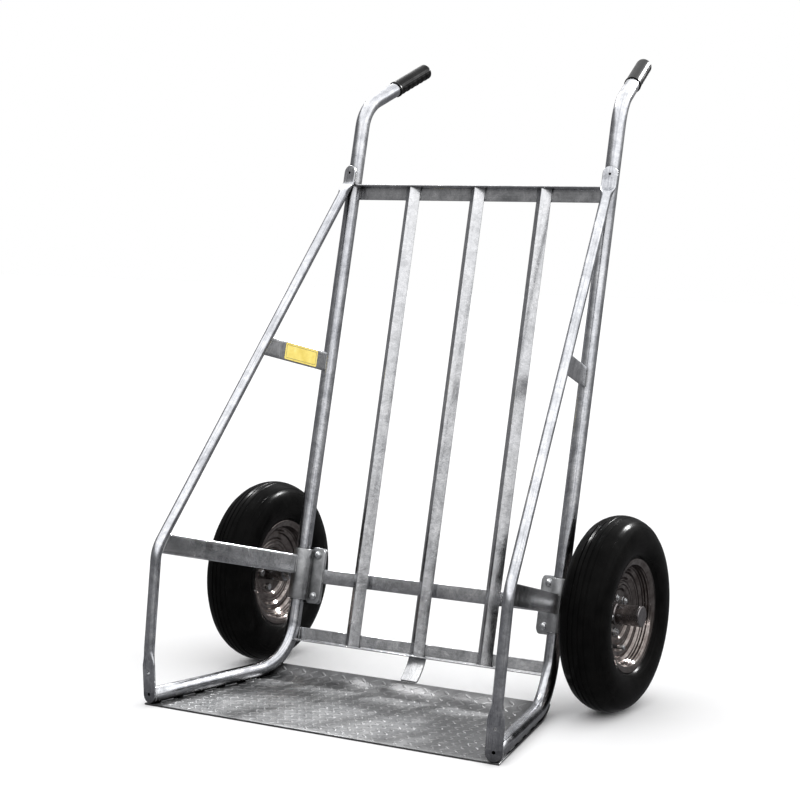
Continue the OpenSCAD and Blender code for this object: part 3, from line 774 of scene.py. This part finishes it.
# ---------------------------------------------------------------- clamps, brackets, bolts
def clamp_part():
    P = Part()
    mid = [(18 * cos(rad(a)), 18 * sin(rad(a))) for a in range(0, -181, -9)]
    mid += [(18 * cos(rad(a)), 18 * sin(rad(a))) for a in (-189, -198, -206, -213)]
    lx, ly = mid[-1]
    mid += [(lx - 0.6, 12.2), (-18.5, 13.7), (-21, 14)]
    mid += [(-24, 14), (-30, 14), (-38, 14), (-42, 14), (-44.5, 14), (-46.5, 14), (-48.2, 14), (-49.2, 14), (-49.5, 14)]
    secs, fl, s = [], [], 0
    for i, (x, y) in enumerate(mid):
        a, b = mid[max(0, i - 1)], mid[min(len(mid) - 1, i + 1)]
        d = Vector((b[0] - a[0], b[1] - a[1])).normalized()
        nx, ny = -d.y, d.x
        h = 55 + 6 * smooth(min(1, max(0, (-x - 14) / 8))) if y > 8 else 55
        if x < -37:
            e = min(12.5, -x - 37.0)
            h -= 12.5 - math.sqrt(max(0, 156.25 - e * e))
        ring = []
        for p, q in rounded(2.0, h, 0.9, 3):
            ring.append(Vector((x + nx * p, y + ny * p, AX_S + q)))
        s += 2
        secs.append(ring)
        fl.append([Vector((s, v.z, 0)) * MM for v in ring])
    P.loops(secs, fl)
    return P

def bolt_part():
    """Pan-head bolt in front, washer and nut behind; local +Y runs back."""
    P = Part()
    head = [(0.0, 0.01), (0.0, 8.6), (-0.4, 9.0), (-1.3, 9.0), (-1.5, 8.7), (-1.5, 7.3), (-2.6, 7.3), (-4.6, 6.6), (-5.8, 5.2), (-6.4, 3.0), (-6.5, 0.01)]
    P.join(lathe([(12 + a, r) for a, r in head], 32, closed=False, axis="Z"))
    P.join(lathe([(21.0, 0.01), (21.0, 8.6), (21.3, 9.0), (22.2, 9.0), (22.5, 8.6), (22.5, 0.01)], 32, closed=False, axis="Z"))
    n = 6
    hexa = []
    for z, r in ((22.4, 6.9), (22.9, 7.5), (28.0, 7.5), (28.5, 6.9)):
        hexa.append([Vector((r * cos(2 * pi * j / n), r * sin(2 * pi * j / n), z)) for j in range(n)])
    P.loops(hexa)
    P.join(lathe([(28.4, 0.01), (28.4, 4.0), (31.6, 4.0), (32.2, 3.3), (32.2, 0.01)], 20, closed=False, axis="Z"))
    return P

bolts = Part()
for s, mir in SIDES:
    make(s + "_tube_clamp", clamp_part().move(M_UP, mir), CAST, "frame", "galvanised", (s + "_clamp",), angle=40)
    for k in (-45, 45):
        b = bolt_part().move(M_UP @ T(-32, 0, AX_S + k) @ R(-90, "X"), mir)
        bolts.join(b)
make("clamp_bolt_set", bolts, ZINC, "frame", "zinc_fasteners", ("clamp_bolts",), angle=35)

# ---------------------------------------------------------------- label: a plain yellow film with a thin printed frame
def film(x0, x1, t0, t1, s0, s1, r, hole=None):
    out = round_corners([(t0, s0), (t1, s0), (t1, s1), (t0, s1)], r, 5, closed=True)
    if hole is None:
        return prism(out, x0, x1, lambda p, q, a: Vector((a, -p, q)))
    P = Part()
    w = hole
    inn = round_corners([(t0 + w, s0 + w), (t1 - w, s0 + w), (t1 - w, s1 - w), (t0 + w, s1 - w)], max(0.4, r - w), 5, closed=True)
    n = len(out)
    secs = [[Vector((x, -p, q)) for p, q in o] for x, o in ((x0, out), (x1, out), (x1, inn), (x0, inn))]
    P.loops(secs, closed=True)
    return P
make("plain_label", film(-2.85, -2.45, 44, 144, 464, 500, 2.5).move(M_SIDE, True), LABEL, "frame", "label_film", ("blank_label",), angle=60)
make("plain_label_frame", film(-2.9, -2.8, 47.5, 140.5, 467.5, 496.5, 1.5, 0.9).move(M_SIDE, True), PRINT, "frame", "label_film", (), angle=60)

# ---------------------------------------------------------------- weld beads
def bead(P, pts, r, up=None, seed=1):
    """Rippled fillet of weld along a polyline of points in a local frame."""
    rnd = random.Random(seed)
    dense = []
    for i in range(len(pts) - 1):
        a, b = Vector(pts[i]), Vector(pts[i + 1])
        m = max(1, int((b - a).length / 0.9))
        dense += [a.lerp(b, k / m) for k in range(m)]
    dense.append(Vector(pts[-1]))
    n = len(dense)
    if n < 3:
        return
    secs = []
    ph = rnd.random() * 6
    for i, p in enumerate(dense):
        t = (dense[min(n - 1, i + 1)] - dense[max(0, i - 1)]).normalized()
        u = t.orthogonal().normalized() if up is None else (Vector(up) - t * t.dot(Vector(up))).normalized()
        w = t.cross(u)
        e = min(1.0, (min(i, n - 1 - i) + 0.6) / 3.0)
        rr = r * (0.35 + 0.65 * math.sqrt(e)) * (1 + 0.13 * sin(i * 2 * pi / 3.6 + ph) + 0.10 * (rnd.random() - 0.5))
        secs.append(circle(p, u, w, rr, 8))
    P.loops(secs)

def arc3(c, u, w, r, a0, a1, n=14):
    return [Vector(c) + Vector(u) * (r * cos(rad(a0 + (a1 - a0) * k / n))) + Vector(w) * (r * sin(rad(a0 + (a1 - a0) * k / n))) for k in range(n + 1)]

welds = Part()
for s, mir in SIDES:
    W = Part()
    # side bar to upright and to brace
    for c in (482, LOWER[s]):
        for x in (-2.9, 2.9):
            t0 = MR * 0.985 if c == 482 else MR + 3.9
            bead(W, [(x, -t0, c - 19), (x, -t0, c + 19)], 1.6, seed=c + int(x))
            bead(W, [(x, -brace_back(c - 19) + 0.4, c - 19), (x, -brace_back(c) + 0.4, c), (x, -brace_back(c + 19) + 0.4, c + 19)], 1.6, seed=c + 3 + int(x))
    # brace tab to upright
    for x in (-15.2, 15.2):
        bead(W, [(x, -MR + 0.8, 889), (x, -MR + 0.8, 912)], 1.5, seed=7 + int(x))
    bead(W, [(15.2 * cos(rad(a)), -MR + 0.8, 912 + 15.2 * sin(rad(a))) for a in range(0, 181, 15)], 1.4, seed=11)
    W.move(M_SIDE)
    # foot to the end of the toe tube
    F = Part()
    bead(F, [(MR * 1.02 * cos(rad(a)), 0.4, MR * 1.02 * sin(rad(a))) for a in range(-40, 221, 10)], 1.7, seed=21)
    W.join(F.move(M_FOOT))
    # crossbars to the uprights
    C = Part()
    for (z0, fz, sgn) in ((BAR_TOP - BAR_H, BAR_TOP, -1), (BAR_LOW, BAR_LOW, 1)):
        xe = HX - math.sqrt(MR ** 2 - 7 ** 2)
        bead(C, [(xe, 6.6, z0 + 2), (xe, 6.6, z0 + BAR_H - 2)], 1.8, seed=31 + int(z0))
        bead(C, [(HX - math.sqrt(max(1, MR ** 2 - y * y)), y, fz + sgn * 3.2) for y in range(-14, 8, 2)], 1.6, seed=33 + int(z0))
        bead(C, [(HX - math.sqrt(max(1, MR ** 2 - y * y)), y, fz - sgn * 0.2) for y in range(-14, 9, 2)], 1.5, seed=35 + int(z0))
    W.join(C.move(M_LEAN))
    # toe tube stitched to the plate
    p0 = M_FOOT @ Vector((0, 6, 0))
    p1 = M_SIDE @ main_path[[i for i in range(len(main_path)) if main_path[i][0].y > -100][0]][0]
    d = Vector((p1.x - p0.x, p1.y - p0.y, 0))
    n = Vector((-d.y, d.x, 0)).normalized()
    for k in range(5):
        for off in (-7.5, 7.5):
            a = p0 + d * (0.05 + 0.20 * k)
            b = a + d.normalized() * 34
            a, b = a + n * off, b + n * off
            bead(W, [(a.x, a.y, TOE_T + 0.7), (b.x, b.y, TOE_T + 0.7)], 2.2, seed=50 + k)
    if mir:
        mirror_part(W)
    welds.join(W)
# slats to crossbars
S = Part()
r2 = 1 / math.sqrt(2)
for x0 in (-160, 0, 160):
    y0 = 7 - 28 * r2
    for z in (BAR_LOW + BAR_T, BAR_TOP - BAR_T):
        for sx in (-1, 1):
            bead(S, [(x0 + sx * 1.0, y0 - 0.3, z), (x0 + sx * 24 * r2, y0 + 24 * r2 - 0.6, z)], 1.5, seed=70 + x0 + sx)
            g = 1 if z < 0 else -1
            bead(S, [(x0 + sx * 27.2 * r2 - sx * 1.0, 6.8, z + g * 2), (x0 + sx * 27.2 * r2 - sx * 1.0, 6.8, z + g * 24)], 1.3, seed=80 + x0 + sx)
for x in (-20, 20):
    bead(S, [(x, 10.6, -107), (x, 10.6, -128)], 1.5, seed=90 + x)
# middle bar to the brackets
for sx in (-1, 1):
    bead(S, [(sx * mh, MR + 0.2, AX_S - 14), (sx * mh, MR + 0.2, AX_S + 14)], 1.7, seed=97 + sx)
    bead(S, [(sx * mh, MR + 4.8, AX_S - 14), (sx * mh, MR + 4.8, AX_S + 14)], 1.5, seed=99 + sx)
welds.join(S.move(M_LEAN))
make("weld_beads", welds, WELD, "frame", "galvanised", (), angle=80)

# ---------------------------------------------------------------- wheels
def wheel_parts(s, mir, body):
    def put(name, part, mat, slot, reps, **k):
        return make(s + "_" + name, part.move(M_WHEEL, mir), mat, body, slot, tuple(s + "_" + r for r in reps), **k)
    # tyre: bead, sidewall ridges, ribbed crown
    side = [(29.0, 103.6), (33.0, 104.3), (34.3, 107.4), (36.0, 115.9), (40.5, 118.8), (43.0, 121.2), (45.9, 124.9), (47.8, 129.6), (49.6, 135), (50.7, 142.5),
            (51.0, 150), (50.7, 157), (49.6, 163), (47.9, 169.2), (45.5, 175), (42.4, 180.2), (38.5, 185), (34.0, 189.0), (29, 192.5)]
    rows = []
    for i, p in enumerate(side):
        rows.append(p)
        if i in (5, 14, 16):      # raised rings on the sidewall and shoulder
            a, b = Vector(p), Vector(side[i + 1])
            d = (b - a).normalized()
            nn = Vector((d.y, -d.x))
            for f, h in ((0.30, 0.0), (0.38, 0.55), (0.55, 0.55), (0.63, 0.0)):
                q = a.lerp(b, f) + nn * h
                rows.append((min(q.x, 51.0), q.y))
    crown = []
    def arcr(x): return 200.0 - 0.0089 * x * x - (0.0 if abs(x) < 17 else 0.004 * (abs(x) - 17) ** 2)
    g = []
    for c in (5.5, 16.5):
        g.append((c - 1.3, c + 1.3))
    x = 27.0
    while x >= -1e-6:
        crown.append((x, arcr(x)))
        x -= 1.5
    out = []
    for x, r in crown:
        if not any(a - 0.8 < x < b + 0.8 for a, b in g):
            out.append((x, r))
    for a, b in g:
        out += [(b + 0.7, arcr(b + 0.7)), (b, arcr(b) - 0.5), (b - 0.5, arcr(b) - 1.6), (a + 0.5, arcr(a) - 1.6), (a, arcr(a) - 0.5), (a - 0.7, arcr(a - 0.7))]
    out = sorted(set(out), key=lambda q: -q[0])
    half = rows + out
    outer = half + [(-x, r) for x, r in reversed(half) if x > 1e-6]
    inner = [(-29, 103.6)] + [(-x, r) for x, r in ((32.5, 117), (38, 126), (42.4, 137), (44, 149), (43, 158), (39.5, 168), (34, 176.5), (26, 183), (15, 189), (5, 191))]
    inner += [(-x, r) for x, r in reversed(inner[1:])]
    prof = outer + inner
    put("tyre_casing", lathe(prof, 128), TYRE, "tyre_rubber", ("tyre",), angle=28)
    # rim halves with rounded steps
    pts = [(0, 21), (0, 50), (5, 54), (5, 72), (10, 77), (10, 90), (15, 95), (15, 101), (33.2, 104), (34.6, 107), (36.2, 115.6)]
    th = 2.4
    def offset(ps, t):
        res = []
        for i, p in enumerate(ps):
            p = Vector(p)
            n1 = n2 = None
            if i > 0:
                d = (p - Vector(ps[i - 1])).normalized(); n1 = Vector((-d.y, d.x))
            if i < len(ps) - 1:
                d = (Vector(ps[i + 1]) - p).normalized(); n2 = Vector((-d.y, d.x))
            n1, n2 = n1 or n2, n2 or n1
            res.append(tuple(p + (n1 + n2) * (t / (1 + n1.dot(n2)))))
        return res
    rr = [0, 3.4, 3.0, 3.4, 3.0, 3.4, 3.4, 5.0, 2.6, 4.0, 0]
    fa = round_corners(pts, rr, 5)
    fb = round_corners(offset(pts, -th), [0, 2.4, 4.2, 2.4, 4.2, 2.4, 4.2, 3.4, 4.0, 3.0, 0], 5)
    ringed = [fb[0]]
    for p0, p1 in zip(fb, fb[1:]):
        p0, p1 = Vector(p0), Vector(p1)
        d = p1 - p0
        if d.length > 4.5 and p0.y > 52:
            d.normalize()
            out_n = Vector((d.y, -d.x))
            m = 2 if (p1 - p0).length > 11 else 1
            for k in range(m):
                for f, h in ((0.18, 0.0), (0.30, 0.45), (0.42, 0.8), (0.5, 0.9), (0.58, 0.8), (0.70, 0.45), (0.82, 0.0)):
                    q = p0.lerp(p1, (k + f) / m) + out_n * (h * (0.6 if p0.y > 103 else 1.0))
                    ringed.append(tuple(q))
        ringed.append(tuple(p1))
    fb = ringed
    lip = offset(pts, -th)[-1]
    a, b = Vector(pts[-1]), Vector(lip)
    d = (a - Vector(pts[-2])).normalized()
    cap_pts = [tuple(a + d * 0.9 + (b - a) * 0.25), tuple(a + d * 0.9 + (b - a) * 0.75)]
    prof = list(fa) + cap_pts + list(reversed(fb))
    tools = []
    R5 = [cyl_tool(M_WHEEL @ R(72 * k + 18, "X") @ T(0, 0, 37) @ R(90, "Y"), 4.1, -6, 12, 24) for k in range(5)]
    vt = cyl_tool(M_WHEEL @ R(128, "X") @ T(0, 0, 83.5) @ R(90, "Y"), 4.6, 0.5, 30, 28)
    def tl(lst):
        out = []
        for t in lst:
            c = Part(); c.v = [Vector(p) for p in t.v]; c.f = list(t.f); c.w = list(t.w)
            out.append(mirror_part(c) if mir else c)
        return out
    put("rim_outer_shell", lathe(prof, 96), RIM, "rim_steel", ("rim_outer",), angle=30, cuts=tl([vt]))
    put("rim_inner_shell", lathe([(-x, r) for x, r in prof], 96), RIM, "rim_steel", ("rim_inner",), angle=30)
    # hub tube with a weld collar and chamfered mouth
    hubp = [(-46, 17.6), (-46, 20.2), (-45.2, 21), (0.2, 21), (2.4, 23.2), (4.2, 23.0), (6.4, 21), (53.2, 21), (54, 20.2), (54, 17.6), (26, 17.6), (26, 15.6), (-30, 15.6), (-30, 17.6)]
    put("hub_barrel", lathe(hubp, 72), HUBM, "zinc_fasteners", ("hub",), angle=30)
    capp = [(46.2, 15.6), (46.2, 17.4), (54.05, 17.4), (54.05, 20.6), (54.4, 21.3), (56.6, 21.4), (57.8, 20.9), (58.5, 19.6), (58.6, 18), (58.55, 9), (58.1, 6.5), (58.05, 0.3), (54.2, 0.3), (54.2, 15.6)]
    put("hub_end_cap", lathe(capp, 64), HUBM, "zinc_fasteners", ("hub_cap",), angle=30)
    # bolts through both rim discs: washer, chamfered hexagon, thread end
    B = Part()
    for k in range(5):
        P = Part()
        P.join(lathe([(2.4, 0.01), (2.4, 8.2), (2.7, 8.6), (3.6, 8.6), (3.9, 8.2), (3.9, 0.01)], 28, closed=False))
        hexa = []
        for x, r in ((3.8, 6.9), (4.3, 7.5), (8.4, 7.5), (8.9, 6.7)):
            hexa.append([Vector((x, r * cos(2 * pi * j / 6 + 0.2), r * sin(2 * pi * j / 6 + 0.2))) for j in range(6)])
        P.loops(hexa)
        P.join(lathe([(8.8, 0.01), (8.8, 4.0), (10.8, 4.0), (11.4, 3.3), (11.4, 0.01)], 20, closed=False))
        hexa = []
        for x, r in ((-2.4, 7.4), (-2.9, 7.5), (-8.2, 7.5), (-8.7, 6.9)):
            hexa.append([Vector((x, r * cos(2 * pi * j / 6), r * sin(2 * pi * j / 6))) for j in range(6)])
        P.loops(hexa)
        B.join(P.move(R(72 * k + 18, "X") @ T(0, 0, 37)))
    put("rim_bolt_set", B, ZINC, "zinc_fasteners", ("rim_bolts",), angle=35)
    # valve: rubber stem and a ribbed zinc cap
    VP = R(128, "X") @ T(12, 0, 83.5)
    stem = lathe([(-9, 0.3), (-9, 3.6), (-3, 4.3), (2, 4.3), (4, 3.9), (22, 3.5), (23, 3.0), (23, 0.3)], 28, closed=False)
    put("valve_stem", stem.move(VP), INNER, "tube_rubber", ("valve",), angle=35)
    cap = lathe([(23, 0.3), (23, 4.3), (23.6, 4.6), (35.6, 4.5), (36.8, 3.8), (37, 2.6), (37, 0.3)], 28, closed=False,
                wob=lambda k, a, r, t: (r - (0.25 * max(0, cos(14 * t)) if 23.5 < a < 36 else 0), a))
    put("valve_cap", cap.move(VP), ZINC, "zinc_fasteners", (), angle=35)

wheel_parts("left", True, "left_wheel")
wheel_parts("right", False, "right_wheel")

# ---------------------------------------------------------------- CAD nodes that stay
def finish_node(name, mat, bevel=0.0):
    o = frame["nodes"][name]
    o.data.materials.clear()
    o.data.materials.append(mat)
    for p in o.data.polygons:
        p.material_index = 0
    if bevel:
        md = o.modifiers.new("edge", "BEVEL")
        md.width, md.segments, md.limit_method, md.angle_limit = bevel * MM, 2, "ANGLE", rad(50)
for n in ("left_axle_bracket", "right_axle_bracket"):
    finish_node(n, CAST)
for n in ("axle", "axle_collars", "axle_nuts", "left_bearings", "right_bearings"):
    finish_node(n, ZINC)
for n in ("left_inner_tube", "right_inner_tube"):
    finish_node(n, INNER)

# ---------------------------------------------------------------- camera
def look(loc, az, tilt, roll):
    """az turns from +Y toward -X, tilt looks down, roll turns the picture (degrees)."""
    a, t, r = (rad(v) for v in (az, tilt, roll))
    fw = Vector((-sin(a) * cos(t), cos(a) * cos(t), -sin(t)))
    rt = Vector((cos(a), sin(a), 0.0))
    up = rt.cross(fw)
    rt2 = rt * cos(r) + up * sin(r)
    up2 = up * cos(r) - rt * sin(r)
    m = Matrix((rt2, up2, -fw)).transposed().to_4x4()
    m.translation = Vector(loc)
    return m

cam_data = bpy.data.cameras.new("camera")
cam = bpy.data.objects.new("camera", cam_data)
bpy.context.scene.collection.objects.link(cam)
cam_data.sensor_width = 36.0
cam_data.lens = 88.02
cam_data.clip_start, cam_data.clip_end = 0.05, 100
cam.matrix_world = look((1.9804, -3.5825, 1.0269), 29.847, 5.805, 0.741)
bpy.context.scene.camera = cam

# ---------------------------------------------------------------- studio
def stage_mat():
    m, N, L, B = nt("pale_floor")
    a = noise(N, L, coord(N, L, False), 3.0, 3)
    L.new(ramp(N, L, a, [(0.3, (0.90, 0.90, 0.90)), (0.7, (0.93, 0.93, 0.93))]), B.inputs["Base Color"])
    B.inputs["Roughness"].default_value = 0.9
    B.inputs["Specular IOR Level"].default_value = 0.1
    return m

me = bpy.data.meshes.new("floor")
me.from_pydata([(-16, -16, 0), (16, -16, 0), (16, 16, 0), (-16, 16, 0)], [], [(0, 1, 2, 3)])
floor = bpy.data.objects.new("floor", me)
bpy.context.scene.collection.objects.link(floor)
me.materials.append(stage_mat())
floor.visible_glossy = False

world = bpy.data.worlds.new("studio")
bpy.context.scene.world = world
world.use_nodes = True
WN, WL = world.node_tree.nodes, world.node_tree.links
WN.clear()
tc = WN.new("ShaderNodeTexCoord")
dot = WN.new("ShaderNodeVectorMath"); dot.operation = "DOT_PRODUCT"
dot.inputs[1].default_value = (0.25, 0.0, 1.0)
WL.new(tc.outputs["Generated"], dot.inputs[0])
sky = WN.new("ShaderNodeValToRGB")
e = sky.color_ramp.elements
e[0].position, e[0].color = 0.0, (0.12, 0.12, 0.125, 1)
e[1].position, e[1].color = 1.0, (1.0, 1.0, 1.0, 1)
for p, c in ((0.15, 0.15), (0.30, 0.19), (0.37, 0.34), (0.44, 0.75), (0.52, 1.0)):
    x = e.new(p); x.color = (c, c, c * 1.01, 1)
WL.new(dot.outputs["Value"], sky.inputs["Fac"])
bg = WN.new("ShaderNodeBackground"); bg.inputs["Strength"].default_value = 1.5
WL.new(sky.outputs["Color"], bg.inputs["Color"])
white = WN.new("ShaderNodeBackground"); white.inputs["Color"].default_value = (1, 1, 1, 1); white.inputs["Strength"].default_value = 1.0
lp = WN.new("ShaderNodeLightPath")
mx = WN.new("ShaderNodeMixShader")
WL.new(lp.outputs["Is Camera Ray"], mx.inputs["Fac"])
WL.new(bg.outputs[0], mx.inputs[1])
WL.new(white.outputs[0], mx.inputs[2])
wo = WN.new("ShaderNodeOutputWorld")
WL.new(mx.outputs[0], wo.inputs["Surface"])

def area(name, loc, target, size, power):
    l = bpy.data.lights.new(name, "AREA")
    l.shape = "RECTANGLE"
    l.size, l.size_y = size
    l.energy = power
    o = bpy.data.objects.new(name, l)
    bpy.context.scene.collection.objects.link(o)
    d = Vector(target) - Vector(loc)
    o.matrix_world = Matrix.Translation(Vector(loc)) @ d.to_track_quat("-Z", "Y").to_matrix().to_4x4()
    return o

back = area("back_right", (1.67, 3.7, 3.2), (0.0, -0.2, 0.2), (0.6, 0.6), 400)
dark = bpy.data.collections.new("not_lit_from_behind")
dark.objects.link(floor)
back.light_linking.receiver_collection = dark
dark.collection_objects[0].light_linking.link_state = "EXCLUDE"
glint = area("tyre_glint", (-2.2, 1.6, 3.3), (0.0, 0.0, 0.3), (0.5, 0.5), 160)
glint.light_linking.receiver_collection = dark
key = area("plate_key", (1.67, 3.7, 3.2), (0.0, -0.2, 0.1), (0.30, 0.30), 900)
plate = bpy.data.collections.new("toe_plate_lit")
for n in ("toe_plate_sheet", "toe_plate_tread"):
    plate.objects.link(bpy.data.objects[n])
key.light_linking.receiver_collection = plate

scene = bpy.context.scene
scene.view_settings.view_transform = "Standard"
scene.view_settings.look = "None"
